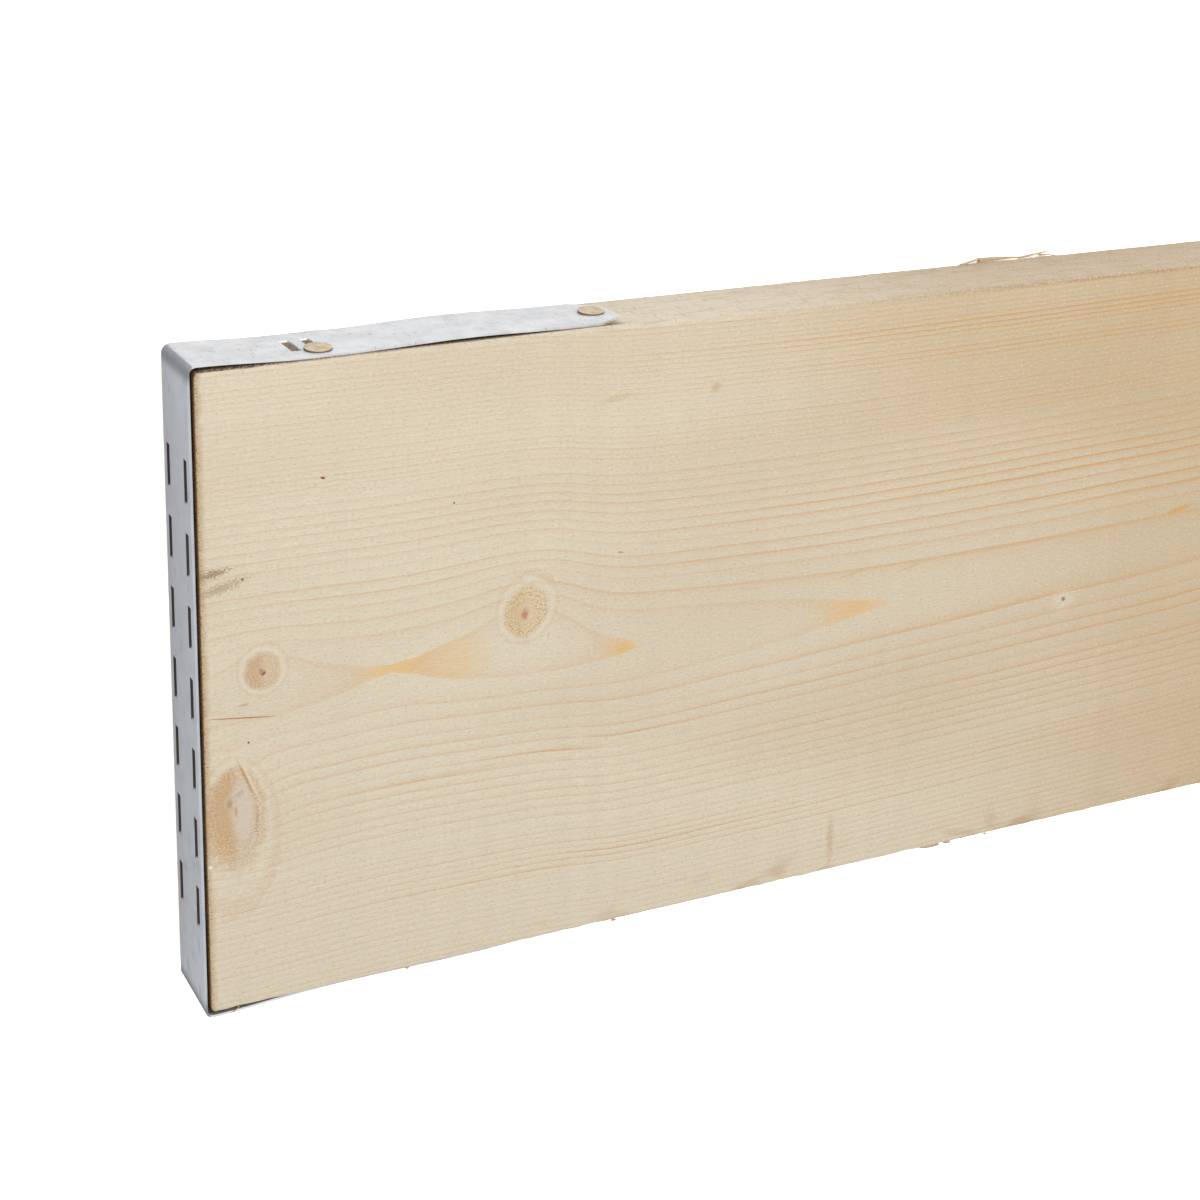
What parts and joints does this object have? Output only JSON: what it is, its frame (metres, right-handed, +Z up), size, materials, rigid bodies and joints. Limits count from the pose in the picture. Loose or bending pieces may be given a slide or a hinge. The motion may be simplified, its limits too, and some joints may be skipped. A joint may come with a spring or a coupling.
{
  "type": "timber scaffold board",
  "caption": "Sawn softwood scaffold plank whose ends are held by folded, punched steel bands nailed through their legs.",
  "frame": {"origin": "middle of the underside, on the floor plane", "axes": "+X along the board, the banded end that the picture shows at -X; +Y across the width; +Z up through the thickness"},
  "size_m": [2.4036, 0.2294, 0.038],
  "materials": {
    "whitewood": "dry sawn whitewood, unplaned, with growth rings, pin knots and torn grain",
    "galvanised_steel": "dull galvanised strip with rolling marks, scuffs and sheared bright edges",
    "nail_steel": "dull tan coated heads with hammer scuffs"
  },
  "bodies": {
    "root": {"board": "whitewood", "end_band_near": "galvanised_steel", "end_band_far": "galvanised_steel", "nail_near_top_inner": "nail_steel", "nail_near_top_outer": "nail_steel", "nail_near_bottom_inner": "nail_steel", "nail_near_bottom_outer": "nail_steel", "nail_far_top_inner": "nail_steel", "nail_far_top_outer": "nail_steel", "nail_far_bottom_inner": "nail_steel", "nail_far_bottom_outer": "nail_steel"}
  },
  "joints": []
}
